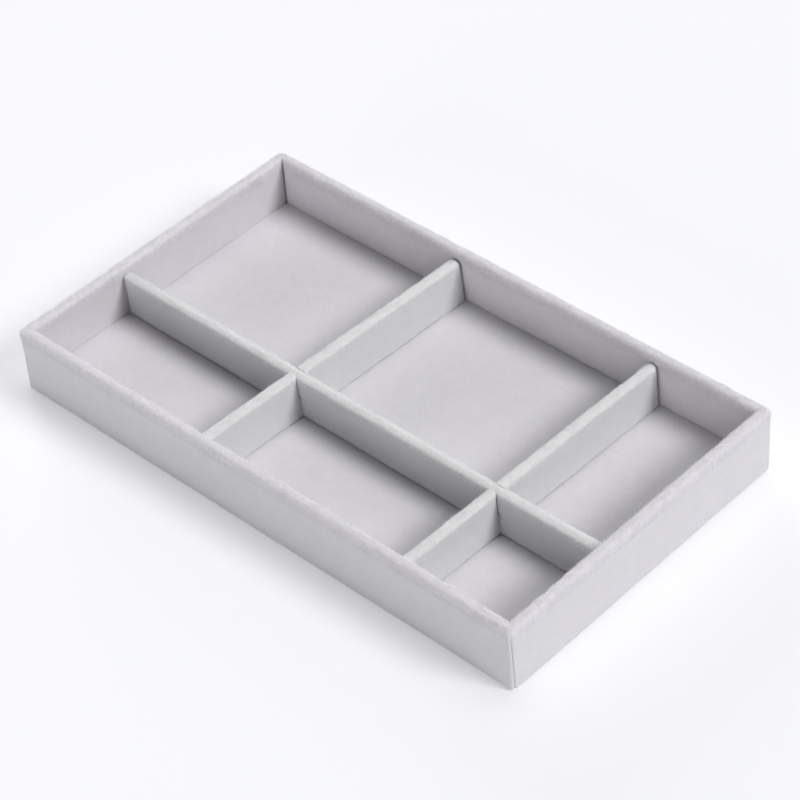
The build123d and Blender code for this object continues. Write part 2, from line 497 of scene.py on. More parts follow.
def fold_tree():
    """Folds a flat strip round the walls: its X runs along the outline, its Y over the rim."""
    tree, size = geometry_tree("Fold round the walls", dict.fromkeys(FOLD_SIZES, "DISTANCE"))
    along, across, _ = separated(tree, node(tree, "GeometryNodeInputPosition"))
    inwards, up, _ = place_at(tree, section_curve(tree, size), across)
    path, total, start = outline_curve(tree, size)

    # The open seam: both ends of the strip draw back from each other and curl in under the rim
    outer_end = size["Tuck"] + size["Height"] - size["Foot"]
    outer = across.math("LESS_THAN", outer_end)
    seam_top = size["Height"] - size["Seam drop"]
    drop = ((seam_top - up) / (seam_top - size["Foot"])).clamped(0.0, 1.0)
    opened = (drop * SEAM_OPENS).clamped(0.0, 1.0) * outer
    gap = size["Seam gap, top"]
    half_gap = (gap + (size["Seam gap, foot"] - gap) * drop) / 2.0
    rest = total - along

    def near_ends(reach):
        """1 at both ends of the strip, fading to nothing within about twice the reach."""
        return along.bell(reach) + rest.bell(reach)

    pull = along.bell(PULL_REACH) - rest.bell(PULL_REACH)
    lean = near_ends(LEAN_REACH) * size["Seam lean"] * drop * outer
    shifted = along + pull * half_gap * opened + lean
    roll = near_ends(ROLL_REACH) * size["Seam roll"]
    pucker = near_ends(PUCKER_REACH) * PUCKER_DEPTH * outer
    deep = inwards + roll * opened + pucker
    around = (shifted + start).math("FLOORED_MODULO", total)
    out_x, out_y, _ = place_at(tree, path, around)

    # The inner face lies on a smaller rectangle, which every outer point has a nearest point on
    half_x = size["Length"] / 2.0 - size["Wall"]
    half_y = size["Width"] / 2.0 - size["Wall"]
    share = deep / size["Wall"]
    x = out_x + (out_x.clamped(half_x * -1.0, half_x) - out_x) * share
    y = out_y + (out_y.clamped(half_y * -1.0, half_y) - out_y) * share

    # The crease where two inner flaps meet in a corner
    inner = across.math("GREATER_THAN", outer_end + size["Wall"] - size["Rim rounding"])
    beside = (half_x - x.math("ABSOLUTE")).math("MAXIMUM", half_y - y.math("ABSOLUTE"))
    below = ((size["Height"] - up) / (size["Rim rounding"] * 2.0)).clamped(0.0, 1.0)
    push = beside.bell(size["Crease width"]) * size["Inner crease"] * below * inner
    x = x + x.math("SIGN") * push
    y = y + y.math("SIGN") * push

    moved = placed(tree, size["Geometry"], Position=combined(tree, x, y, up))
    inputs = {"Geometry": moved, "Distance": MERGED}
    return end_tree(tree, node(tree, "GeometryNodeMergeByDistance", inputs), size["Material"])


def swell(tree, width, seed):
    """Smooth noise from about -1 to 1 with features of one width, fixed by a seed."""
    place = node(tree, "GeometryNodeInputPosition")
    inputs = {"Vector": place, "W": seed, "Scale": width.math("POWER", -1.0), "Detail": 1.0}
    fac = node(tree, "ShaderNodeTexNoise", inputs, noise_dimensions="4D")
    return (fac - 0.5) * WAVE_STRETCH


def soft_edge_field(tree):
    """How near each point is to a soft edge, as its mesh says."""
    return node(tree, "GeometryNodeInputNamedAttribute", {"Name": "soft_edge"})


def soften_tree():
    """Moves a surface in and out a little, in wide waves, small ones and tufts on soft edges."""
    kinds = {**dict.fromkeys(SOFTEN_SIZES, "DISTANCE"), "Seed": "INT"}
    tree, size = geometry_tree("Soften", kinds)
    seed = size["Seed"] * SEED_STEP
    waves = swell(tree, size["Wave width"], seed) * size["Wave"]
    ripples = swell(tree, size["Ripple width"], seed + RIPPLE_SEED) * size["Ripple"]
    tufts = swell(tree, size["Tuft width"], seed + TUFT_SEED) * size["Tufts"]
    amount = waves + ripples + tufts * soft_edge_field(tree)
    offset = scaled(tree, node(tree, "GeometryNodeInputNormal"), amount)
    return end_tree(tree, placed(tree, size["Geometry"], Offset=offset), size["Material"])


def random_between(tree, low, high, seed):
    """A number for each point, between two values."""
    return node(tree, "FunctionNodeRandomValue", {2: low, 3: high, "Seed": seed}, output=1)


def pile_tree():
    """Stands short tapered fibres on a surface, as dense as its soft_edge attribute says."""
    kinds = dict.fromkeys(("Fibre length", "Fibre thickness", "Clumps"), "DISTANCE")
    kinds.update({"Fibres": "NONE", "Lean": "ANGLE", "Seed": "INT"})
    tree, size = geometry_tree("Pile", kinds)
    seed, length, lean = size["Seed"], size["Fibre length"], size["Lean"]
    swelling = swell(tree, size["Clumps"], seed * CLUMP_SEED)
    clumped = (swelling * CLUMP_GAIN + 1.0).clamped(*CLUMP_RANGE)
    dense = size["Fibres"] * soft_edge_field(tree) * clumped
    inputs = {"Mesh": size["Geometry"], "Density": dense, "Seed": seed}
    points, _, upright = several(tree, "GeometryNodeDistributePointsOnFaces", inputs)

    inputs = {"Vertices": 3, "Radius Bottom": size["Fibre thickness"] / 2.0, "Depth": length}
    fibre = node(tree, "GeometryNodeMeshCone", inputs, fill_type="NGON")
    inputs = {"Geometry": fibre, "Translation": combined(tree, 0.0, 0.0, length * ROOT_SHARE)}
    fibre = node(tree, "GeometryNodeTransform", inputs)

    tilt = combined(
        tree,
        random_between(tree, lean * -1.0, lean, seed + 1.0),
        random_between(tree, lean * -1.0, lean, seed + 2.0),
        random_between(tree, 0.0, FULL_TURN, seed + 3.0),
    )
    tilt = node(tree, "FunctionNodeEulerToRotation", {0: tilt})
    inputs = {"Rotation": upright, "Rotate By": tilt}
    turned = node(tree, "FunctionNodeRotateRotation", inputs, rotation_space="LOCAL")
    tufts = swelling.clamped(*TUFT_RANGE) * TUFT_GAIN + TUFT_BASE
    tall = combined(tree, 1.0, 1.0, random_between(tree, *FIBRE_RANGE, seed + 4.0) * tufts)
    inputs = {"Points": points, "Instance": fibre, "Rotation": turned, "Scale": tall}
    return end_tree(tree, node(tree, "GeometryNodeInstanceOnPoints", inputs), size["Material"])


# Meshes


def close_lines(low, high, step, marks):
    """Places from low to high, a step apart, and closer round each mark as its offsets say."""
    keys = {low, high}
    for mark, offsets in marks:
        for offset in offsets:
            keys.update(place for place in (mark - offset, mark + offset) if low <= place <= high)
    keys = sorted(keys)
    places = [keys[0]]
    for key in keys[1:]:
        gap = key - places[-1]
        if gap < step * TOO_CLOSE:
            continue
        pieces = max(1, round(gap / step))
        start = places[-1]
        places += [start + gap * share / pieces for share in range(1, pieces + 1)]
    places[-1] = high
    return np.array(places)


def arc_offsets(radius, steps):
    """Distances from an edge that are evenly spaced round its rounding."""
    return [radius * (1 - math.cos(QUARTER_TURN * share / steps)) for share in range(steps + 1)]


def stretches(parts):
    """Distances along a line of several stretches, each in its own number of steps."""
    places = [0.0]
    for length, steps in parts:
        start = places[-1]
        places += [start + length * share / steps for share in range(1, steps + 1)]
    return np.array(places)


def new_piece(name, points, faces, soft_edge=None):
    """Mesh object in the scene, with how near each point is to a soft edge."""
    old = bpy.data.objects.get(name)
    if old is not None:
        bpy.data.objects.remove(old)
    mesh = bpy.data.meshes.new(name)
    mesh.from_pydata([tuple(point) for point in points], [], [tuple(face) for face in faces])
    if soft_edge is not None:
        layer = mesh.attributes.new("soft_edge", "FLOAT", "POINT")
        layer.data.foreach_set("value", np.asarray(soft_edge, np.float32))
    mesh.update()
    piece = bpy.data.objects.new(name, mesh)
    bpy.context.scene.collection.objects.link(piece)
    return piece


def settle(piece):
    """Turns what the piece's modifiers show into its own plain mesh."""
    bpy.context.view_layer.update()
    graph = bpy.context.evaluated_depsgraph_get()
    mesh = bpy.data.meshes.new_from_object(
        piece.evaluated_get(graph), preserve_all_data_layers=True, depsgraph=graph
    )
    piece.modifiers.clear()
    piece.data = mesh
    mesh.name = piece.name
    if not len(mesh.polygons):
        raise RuntimeError(f"{piece.name} came out empty")


def grow(piece, tree, values):
    """Runs a node tree on the piece with the values that it takes, and keeps the result."""
    modifier = piece.modifiers.new(tree.name, "NODES")
    modifier.node_group = tree
    for item in tree.interface.items_tree:
        if item.in_out == "INPUT" and item.name in values:
            modifier[item.identifier] = values[item.name]
    settle(piece)


def soften(piece, finish, depth, waves, seed, tufts=0.0):
    """Gives a flat surface the slight waves of glued cloth, and tufts of nap on its soft edges."""
    tree = bpy.data.node_groups.get("Soften") or soften_tree()
    width, ripple_share, ripple_width = waves
    ripple = depth * ripple_share
    sizes = dict(zip(SOFTEN_SIZES, (depth, width, ripple, ripple_width, tufts, TUFT_WIDTH)))
    grow(piece, tree, {**sizes, "Seed": seed, "Material": finish})


def thicken(piece, thickness):
    """Keeps a copy of the cloth's outer face for its pile, and gives the cloth its thickness."""
    skin = piece.data.copy()
    skin.name = piece.name + "_skin"
    skin.use_fake_user = True
    shell = piece.modifiers.new("Cloth thickness", "SOLIDIFY")
    shell.thickness = thickness
    shell.offset = -1.0
    shell.use_even_offset = False
    settle(piece)
    piece.data.set_sharp_from_angle(angle=SHARP_ANGLE)


def ragged(places):
    """Factors round 1 that vary along a cut edge from tuft to tuft."""
    count = max(2, round((places[-1] - places[0]) / TUFT_WIDTH))
    knots = np.linspace(places[0], places[-1], count)
    factors = np.random.default_rng(RAGGED_SEED).uniform(*RAGGED_RANGE, count)
    return np.interp(places, knots, factors)


def soft_board(
    us, vs, half, edge, corner, slots=(), snug=(0, 0), curl=0.0, bulge=0.0, foot_open=False,
    base=None,
):
    """Skin of a board covered with cloth, over a grid of u along it and v across it.

    Both faces and the soft edges between them are closed. The lower edge with foot_open, and the
    slots, are left as cut edges. Beside a slot that is open above, the cloth leans in over the soft
    edge of what lies in it, as far as snug says. With a base the skin has one face, and its edge
    goes down to that level. Gives points (u, v, n), faces and how soft the edge at each point is.
    """
    u, v = (grid.astype(float) for grid in np.meshgrid(us, vs, indexing="ij"))
    reach_u, low_v, high_v = us[-1], vs[0], vs[-1]
    a = reach_u - np.abs(u)
    b = high_v - v if foot_open else np.minimum(high_v - v, v - low_v)
    near = np.minimum(a, b)
    rounding = edge - np.sqrt(np.maximum(edge**2 - (edge - np.minimum(near, edge)) ** 2, 0))
    cut = np.full(u.shape, 1.0)
    if foot_open:
        cut = np.minimum(cut, v - low_v)
    for centre, half_width, slot_low, slot_high in slots:
        aside = np.maximum(np.abs(u - centre) - half_width, 0)
        above = np.maximum(np.maximum(slot_low - v, v - slot_high), 0)
        cut = np.minimum(cut, np.hypot(aside, above))
    curled = 1 - np.sqrt(1 - np.maximum(1 - cut / CURL_REACH, 0) ** 2)
    n = half - rounding - curl * curled * ragged(us)[:, None]

    # Rounded corners in the board's own plane
    p_u, p_v = np.maximum(corner - a, 0), np.maximum(corner - b, 0)
    size = np.hypot(p_u, p_v)
    safe_size = np.maximum(size, TINY)
    shrink = np.where((p_u > 0) & (p_v > 0), np.maximum(p_u, p_v) / safe_size, 1.0)
    side_u = np.sign(u)
    side_v = np.where(foot_open | (high_v - v < v - low_v), 1.0, -1.0)
    u2 = u + side_u * p_u * (shrink - 1)
    v2 = v + side_v * p_v * (shrink - 1)
    for centre, half_width, _, slot_high in slots:
        if slot_high > high_v:
            depth = np.minimum(high_v - v, edge)
            fallen = edge - np.sqrt(edge**2 - (edge - depth) ** 2)
            fade = np.clip(1 - (np.abs(u - centre) - half_width) / (SNUG_REACH * edge), 0, 1)
            u2 -= np.sign(u - centre) * fallen * fade * np.where(u < centre, *snug)
    out_u = side_u * np.where(size > 0, p_u / safe_size, 0)
    out_v = side_v * np.where(size > 0, p_v / safe_size, 0)

    mid_u, mid_v = (us[:-1] + us[1:]) / 2, (vs[:-1] + vs[1:]) / 2
    kept = np.ones((len(mid_u), len(mid_v)), bool)
    for centre, half_width, slot_low, slot_high in slots:
        inside_v = (mid_v > slot_low) & (mid_v < slot_high)
        kept &= ~np.outer(np.abs(mid_u - centre) < half_width, inside_v)

    points, softness, faces, index = [], [], [], {}
    soft_at = np.clip(SOFT_REACH - near / edge, 0, 1)

    def point(i, j, k):
        """Number of the point at a grid place: k 0 on the upper face, SIDE_STEPS on the other."""
        if (i, j, k) not in index:
            index[i, j, k] = len(points)
            down = k / SIDE_STEPS
            top = n[i, j]
            low = -top if base is None else base
            out = bulge * (1 - (1 - 2 * down) ** 2) if base is None else 0.0
            level = top + (low - top) * down
            points.append((u2[i, j] + out_u[i, j] * out, v2[i, j] + out_v[i, j] * out, level))
            softness.append(soft_at[i, j] * (1 if base is None else 1 - down))
        return index[i, j, k]

    def close_edge(pairs, turned):
        """Faces down the edge between each pair of grid places."""
        for one, other in pairs:
            for k in range(SIDE_STEPS):
                ring = [point(*one, k), point(*other, k), point(*other, k + 1), point(*one, k + 1)]
                faces.append(ring[::-1] if turned else ring)

    for i, j in zip(*np.nonzero(kept)):
        ring = [(i, j), (i + 1, j), (i + 1, j + 1), (i, j + 1)]
        faces.append([point(*place, 0) for place in ring])
        if base is None:
            faces.append([point(*place, SIDE_STEPS) for place in reversed(ring)])
    last_u, last_v = kept.shape
    for j, turned in ((last_v, False), (0, True)):
        if j or not foot_open:
            covered = [i for i in range(last_u) if kept[i, min(j, last_v - 1)]]
            close_edge([((i, j), (i + 1, j)) for i in covered], turned)
    for i, turned in ((last_u, True), (0, False)):
        covered = [j for j in range(last_v) if kept[min(i, last_u - 1), j]]
        close_edge([((i, j), (i, j + 1)) for j in covered], turned)
    return np.array(points), faces, np.array(softness)


# Materials


def shader_group(name, inputs):
    """Group that turns a place and some values into a colour, a roughness and a height."""
    tree = bpy.data.node_groups.new(name, "ShaderNodeTree")
    sockets = {"Place": "Vector", "Colour": "Color", **dict.fromkeys(inputs, "Float")}
    for label, kind in sockets.items():
        tree.interface.new_socket(label, in_out="INPUT", socket_type="NodeSocket" + kind)
    for label, kind in {"Color": "Color", "Roughness": "Float", "Height": "Float"}.items():
        tree.interface.new_socket(label, in_out="OUTPUT", socket_type="NodeSocket" + kind)
    return tree, given_inputs(tree)


def hand_out(tree, color, roughness, height):
    out = tree.nodes.new("NodeGroupOutput")
    for name, value in {"Color": color, "Roughness": roughness, "Height": height}.items():
        feed(tree, out.inputs[name], value)
    return tree


def noise(tree, place, width, detail=2.0, roughness=0.5, distortion=0.0):
    """Noise from about -0.5 to 0.5 with features of one width."""
    scale = width.math("POWER", -1.0) if isinstance(width, Field) else 1 / width
    inputs = {"Vector": place, "Scale": scale, "Detail": detail}
    inputs.update({"Roughness": roughness, "Distortion": distortion})
    return node(tree, "ShaderNodeTexNoise", inputs) - 0.5


def velvet_group():
    """Cut pile: fine grain, patches where the nap lies over, and soft edges made paler by a painted
    highlight.
    """
    names = ("Grain Size", "Grain", "Nap Size", "Nap", "Brushing", "Edge", "Rub", "Tufts")
    tree, given = shader_group("Velvet nap", names)
    place = given["Place"]
    grain = noise(tree, place, given["Grain Size"], detail=2.0, roughness=0.7)
    nap = noise(tree, place, given["Nap Size"], detail=3.0, roughness=0.55, distortion=0.5)
    strokes = {0: place, 1: BRUSH_STROKES}
    stretched = node(tree, "ShaderNodeVectorMath", strokes, operation="MULTIPLY")
    brushed = noise(tree, stretched, 1.0, detail=2.0, roughness=0.6, distortion=0.3)
    tufts = noise(tree, place, TUFT_WIDTH, detail=1.0) * given["Tufts"]
    # Painted highlight: soft edges are drawn paler, on top of their random tufts of tone
    edge = given["Edge"] * (tufts + given["Rub"])
    gain = grain * given["Grain"] + nap * given["Nap"] + brushed * given["Brushing"] + edge + 1.0
    height = grain * 0.75 + nap * 0.6
    roughness = (grain * 0.12 + nap * 0.1 + VELVET_ROUGHNESS).clamped(0.0, 1.0)
    return hand_out(tree, scaled(tree, given["Colour"], gain), roughness, height)


def fibre_group():
    """Pressed fibres: felt, fibreboard, card and foam, with flecks and soft mottling."""
    names = ("Fibre Size", "Fibres", "Mottle Size", "Mottle", "Flecks")
    tree, given = shader_group("Pressed fibres", names)
    place = given["Place"]
    fibres = noise(tree, place, given["Fibre Size"], detail=4.0, roughness=0.7, distortion=2.0)
    mottle = noise(tree, place, given["Mottle Size"], detail=2.0, distortion=0.4)
    spots = noise(tree, place, given["Fibre Size"] * FLECK_WIDTH, detail=1.0)
    flecks = ((spots - FLECK_FROM) * FLECK_EDGE).clamped(0.0, 1.0) * given["Flecks"]
    gain = fibres * given["Fibres"] + mottle * given["Mottle"] - flecks + 1.0
    roughness = (fibres * 0.15 + PRESSED_ROUGHNESS).clamped(0.0, 1.0)
    height = fibres + mottle * 0.5
    return hand_out(tree, scaled(tree, given["Colour"], gain), roughness, height)


def material(name, group, values, bump, depth, sheen=0.0, sheen_roughness=0.5, specular=0.2):
    """Material with one shared group behind a Principled shader."""
    made = bpy.data.materials.get(name) or bpy.data.materials.new(name)
    made.use_nodes = True
    tree = made.node_tree
    tree.nodes.clear()
    effect = tree.nodes.new("ShaderNodeGroup")
    effect.node_tree = group
    feed(tree, effect.inputs["Place"], node(tree, "ShaderNodeTexCoord", output="Object"))
    for label, value in values.items():
        feed(tree, effect.inputs[label], value)
    # The soft_edge attribute is also the mask of the painted edge highlight
    if "Edge" in effect.inputs:
        edge = node(tree, "ShaderNodeAttribute", attribute_name="soft_edge", output="Fac")
        feed(tree, effect.inputs["Edge"], edge)
    height = Field(tree, effect.outputs["Height"])
    normal = {"Height": height, "Strength": bump, "Distance": depth}
    shader = tree.nodes.new("ShaderNodeBsdfPrincipled")
    feed(tree, shader.inputs["Base Color"], Field(tree, effect.outputs["Color"]))
    feed(tree, shader.inputs["Roughness"], Field(tree, effect.outputs["Roughness"]))
    feed(tree, shader.inputs["Normal"], node(tree, "ShaderNodeBump", normal))
    shader.inputs["Specular IOR Level"].default_value = specular
    shader.inputs["Sheen Weight"].default_value = sheen
    shader.inputs["Sheen Roughness"].default_value = sheen_roughness
    out = tree.nodes.new("ShaderNodeOutputMaterial")
    tree.links.new(shader.outputs[0], out.inputs["Surface"])
    return made


def rgba(color):
    return (*color, 1.0)


def paler(color):
    """The velvet's colour made paler for its standing pile: painted light, for light through the
    fibre tips and against the shade among them.
    """
    gain = bpy.context.scene.jewelry_tray.finish.pile_light_gain
    return tuple(min(1.0, part * gain) for part in color)


def finishes():
    """All materials by name, made again from the settings."""
    look = bpy.context.scene.jewelry_tray.finish
    nap = bpy.data.node_groups.get("Velvet nap") or velvet_group()
    fibres = bpy.data.node_groups.get("Pressed fibres") or fibre_group()
    cut_pile = {"Grain Size": 0.0005, "Grain": 0.26, "Nap Size": 0.006, "Nap": 0.10}
    cut_pile.update({"Brushing": 0.04, "Tufts": 0.12})
    pressed = {"Fibre Size": 0.0009, "Fibres": 0.5, "Mottle Size": 0.012, "Mottle": 0.15}
    pressed["Flecks"] = 0.25
    cloth = {"bump": 0.5, "depth": 0.0003, "sheen_roughness": 0.3, "specular": 0.05}
    made = {}
    # Every velvet's soft edges get a painted highlight
    for name, color, highlight in (
        ("tray_velvet", look.tray_velvet, look.tray_rub),
        # The piles' materials are paler copies of the velvet: painted light
        ("tray_pile", paler(look.tray_velvet), look.tray_rub),
        ("divider_velvet", look.divider_velvet, look.divider_rub),
        ("divider_pile", paler(look.divider_velvet), look.tray_rub),
    ):
        values = {**cut_pile, "Colour": rgba(color), "Rub": highlight}
        made[name] = material(name, nap, values, sheen=look.sheen, **cloth)
    for name, changes, bump, depth, sheen in (
        ("felt", {}, 0.5, 0.0004, 0.1),
        ("fibreboard", {"Fibre Size": 0.0006}, 0.3, 0.0002, 0.0),
        ("card", {"Fibres": 0.25, "Flecks": 0.35}, 0.2, 0.0001, 0.0),
        ("foam", {"Fibre Size": 0.0005, "Flecks": 0.4}, 0.7, 0.0004, 0.0),
    ):
        values = {**pressed, **changes, "Colour": rgba(getattr(look, name))}
        made[name] = material(name, fibres, values, bump, depth, sheen)
    return made


def finish_of(name):
    """One material, made with the others if it isn't there yet."""
    return bpy.data.materials.get(name) or finishes()[name]


def wear(piece, finish):
    """Gives a piece one material."""
    piece.data.materials.clear()
    piece.data.materials.append(finish)


# Pieces


class TRAY_OT_finishes(bpy.types.Operator):
    """Make the materials and give the bare boards and the card theirs"""

    bl_idname = "jewelry_tray.finishes"
    bl_label = "Finishes"

    def execute(self, context):
        made = finishes()
        for name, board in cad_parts.items():
            if name.endswith("_board"):
                wear(board, made["fibreboard"])
        wear(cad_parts["pad_card"], made["card"])
        return {"FINISHED"}


class TRAY_OT_wall_wrap(bpy.types.Operator):
    """Fold the strip of velvet round the walls, over the rim and under, with its open seam"""

    bl_idname = "jewelry_tray.wall_wrap"
    bl_label = "Wall wrap"

    def execute(self, context):
        wrap = context.scene.jewelry_tray.wrap
        length, width = WRAP_HIGH.x - WRAP_LOW.x, WRAP_HIGH.y - WRAP_LOW.y
        low, high, inner_low = WRAP_LOW.z, WRAP_HIGH.z, BASE_TOP
        tuck = wrap.wall - VELVET

        # The flat strip, with more columns where it turns a corner and more rows where it folds
        side, end = length - 2 * wrap.corner_round, width - 2 * wrap.corner_round
        bend = QUARTER_TURN * wrap.corner_round
        total = 2 * (end + side) + 4 * bend
        corners = [0, end + bend, end + side + 2 * bend, 2 * end + side + 3 * bend, total]
        arc = [bend / 2 * share / ARC_STEPS for share in range(ARC_STEPS + 1)]
        inner = bend / 2 + wrap.wall - wrap.corner_round
        near = arc + [inner + offset * MM for offset in FLAP_LINES]
        ends = [offset * MM for offset in END_LINES]
        marks = [(corner, near) for corner in corners] + [(0, ends), (total, ends)]
        columns = close_lines(0, total, WRAP_STEP, marks)
        rim = QUARTER_TURN * wrap.rim_round
        runs = (
            tuck - wrap.foot_round,
            QUARTER_TURN * wrap.foot_round,
            high - low - wrap.foot_round - wrap.rim_round,
            rim,
            wrap.wall - 2 * wrap.rim_round,
            rim,
            high - inner_low - wrap.rim_round,
        )
        rows = stretches(zip(runs, WRAP_STEPS))
        rim_from, rim_to = rows[sum(WRAP_STEPS[:3])], rows[sum(WRAP_STEPS[:6])]
        flat = [(x, y, 0.0) for x in columns for y in rows]
        count = len(rows)
        faces = [
            (i * count + j, (i + 1) * count + j, (i + 1) * count + j + 1, i * count + j + 1)
            for i in range(len(columns) - 1)
            for j in range(count - 1)
        ]
        # The rim's soft_edge sets its pile, its tufts and its painted highlight
        beyond = np.maximum(np.maximum(rim_from - rows, rows - rim_to), 0)
        soft_edge = np.tile(np.clip(1 - beyond / RIM_FADE, 0, 1), len(columns))
        piece = new_piece("wall_wrap", flat, faces, soft_edge)

        finish = finish_of("tray_velvet")
        values = {**by_name(wrap), "Length": length, "Width": width, "Height": high, "Foot": low}
        values.update({"Inner foot": inner_low, "Tuck": tuck, "Seam roll": SEAM_ROLL})
        values.update({"Crease width": CREASE_WIDTH, "Material": finish})
        grow(piece, bpy.data.node_groups.get("Fold round the walls") or fold_tree(), values)
        soften(piece, finish, wrap.wave, WRAP_WAVES, seed=1, tufts=wrap.tufts)
        thicken(piece, VELVET * CLOTH_SHARE)
        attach(piece, TRAY_BODY)
        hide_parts("wall_velvet")
        return {"FINISHED"}


def divider_lines():
    """Middle point and turn of each divider, by name."""
    dividers = bpy.context.scene.jewelry_tray.dividers
    turns = (dividers.left_turn, dividers.right_turn)
    lines = {"long_divider": (Vector(((LONG_LOW.x + LONG_HIGH.x) / 2, LONG_Y)), 0.0)}
    for turn, (name, (low, high)) in zip(turns, CROSS_BOXES.items()):
        middle = Vector(((low.x + high.x) / 2, (low.y + high.y) / 2))
        lines[name] = (middle, QUARTER_TURN - turn)
    return lines


def pad_relief(x, y, pad):
    """Height of the pad over its plain level, and how far each point is from the dividers' feet.

    The pad is pressed in beside the dividers and full between them.
    """
    reach_x, reach_y = (PAD_HIGH.x - PAD_LOW.x) / 2, (PAD_HIGH.y - PAD_LOW.y) / 2
    free = np.minimum(reach_x - np.abs(x), reach_y - np.abs(y))
    relief = np.zeros_like(x)
    nearest = np.full_like(x, 1.0)
    for middle, turn in divider_lines().values():
        aside = np.abs(-(x - middle.x) * math.sin(turn) + (y - middle.y) * math.cos(turn))
        off_foot = np.maximum(aside - DIVIDER / 2 + FOOT_INSET, 0)
        relief -= pad.dent * np.exp(-((off_foot / DENT_REACH) ** 2))
        free = np.minimum(free, off_foot)
        nearest = np.minimum(nearest, off_foot)
    return relief + pad.crown * (1 - np.exp(-((free / CROWN_REACH) ** 2))), nearest


def slab_grid(low, high, step, edge, corner):
    """Grid lines over a flat piece between two corners of its box."""
    near = arc_offsets(edge, SLAB_ARC_STEPS)
    if corner > edge:
        near += [corner * share for share in SLAB_CORNER_LINES]
    reaches = ((high.x - low.x) / 2, (high.y - low.y) / 2)
    return [close_lines(-r, r, step, [(-r, near), (r, near)]) for r in reaches]


class TRAY_OT_floor_pad(bpy.types.Operator):
    """Make the padded floor: a velvet cover over foam, pressed in by the dividers' feet"""

    bl_idname = "jewelry_tray.floor_pad"
    bl_label = "Floor pad"

    def execute(self, context):
        pad = context.scene.jewelry_tray.pad
        half = (PAD_HIGH.z - PAD_LOW.z) / 2
        spread = Vector((pad.spread, pad.spread, 0))
        edge = pad.edge_round
        us, vs = slab_grid(PAD_LOW - spread, PAD_HIGH + spread, PAD_STEP, edge, PAD_CORNER)
        points, faces, soft_edge = soft_board(us, vs, half, edge, PAD_CORNER, base=-half)
        lift, off_foot = pad_relief(points[:, 0], points[:, 1], pad)
        points[:, 2] += (PAD_LOW.z + PAD_HIGH.z) / 2 + lift * (points[:, 2] > 0)
        on_top = points[:, 2] > PAD_HIGH.z - MM
        # On the pad, soft_edge also draws the painted highlight, so the pad is paler along its edge
        # and beside the dividers' feet
        beside_foot = FOOT_PILE_AND_HIGHLIGHT * np.exp(-((off_foot / FOOT_PILE_REACH) ** 2)) * on_top
        soft_edge = np.maximum(soft_edge * EDGE_PILE_AND_HIGHLIGHT, beside_foot)
        piece = new_piece("floor_pad", points, faces, soft_edge)
        soften(piece, finish_of("tray_velvet"), pad.wave, PAD_WAVES, seed=2)
        thicken(piece, VELVET * PAD_CLOTH_SHARE)
        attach(piece, TRAY_BODY)
        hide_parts("pad_velvet")

        half = (FOAM_HIGH.z - FOAM_LOW.z) / 2 - FOAM_SHY
        us, vs = slab_grid(FOAM_LOW, FOAM_HIGH, FOAM_STEP, FOAM_EDGE, FOAM_CORNER)
        points, faces, _ = soft_board(us, vs, half, FOAM_EDGE, FOAM_CORNER, bulge=FOAM_BULGE)
        lift, _ = pad_relief(points[:, 0], points[:, 1], pad)
        points[:, 2] += (FOAM_LOW.z + FOAM_HIGH.z) / 2 + lift * (points[:, 2] > 0)
        piece = new_piece("foam_layer", points, faces)
        soften(piece, finish_of("foam"), FOAM_WAVE, SLAB_WAVES, seed=3)
        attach(piece, TRAY_BODY)
        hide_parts("pad_foam")
        return {"FINISHED"}


def divider_cover(name, length, slots, line, corner, seed, stray):
    """Velvet cover of one divider, over its board and open at its foot and slots.

    stray says how far a point at a place along and up the divider lies aside of upright.
    """
    dividers = bpy.context.scene.jewelry_tray.dividers
    low, height = LONG_LOW.z, LONG_HIGH.z - LONG_LOW.z
    middle, turn = line
    edge = dividers.edge_round
    near = arc_offsets(edge, COVER_ARC_STEPS)
    near += [corner * share for share in COVER_CORNER_LINES]
    cut = [offset * MM for offset in CUT_LINES]
    marks = [(-length / 2, near), (length / 2, near)]
    marks += [(centre + side * half, cut) for centre, half, _, _ in slots for side in (-1, 1)]
    us = close_lines(-length / 2, length / 2, COVER_STEP, marks)
    marks = [(0, cut), (height, near)]
    marks += [(level, cut) for slot in slots for level in slot[2:] if 0 < level < height]
    vs = close_lines(0, height, COVER_RISE, marks)
    snug = tuple(dividers.snug)
    points, faces, soft_edge = soft_board(
        us, vs, DIVIDER / 2, edge, corner, slots, snug, dividers.curl, COVER_BULGE, foot_open=True
    )
    along, up, out = points[:, 0], points[:, 1], -points[:, 2]
    out = out + stray(2 * along / length, 2 * up / height - 1)
    x = middle.x + along * math.cos(turn) - out * math.sin(turn)
    y = middle.y + along * math.sin(turn) + out * math.cos(turn)
    piece = new_piece(name + "_cover", np.stack([x, y, up + low], 1), faces, soft_edge)
    finish = finish_of("divider_velvet")
    soften(piece, finish, dividers.wave, COVER_WAVES, seed, dividers.tufts)
    thicken(piece, VELVET * CLOTH_SHARE)
    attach(piece, GRID_BODY)
    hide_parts(name + "_velvet")
    cloth = (2 * height + DIVIDER, length)
    cut_away = sum(4 * half * (min(top, height) - max(foot, 0)) for _, half, foot, top in slots)
    cloth[0] * cloth[1] - cut_away


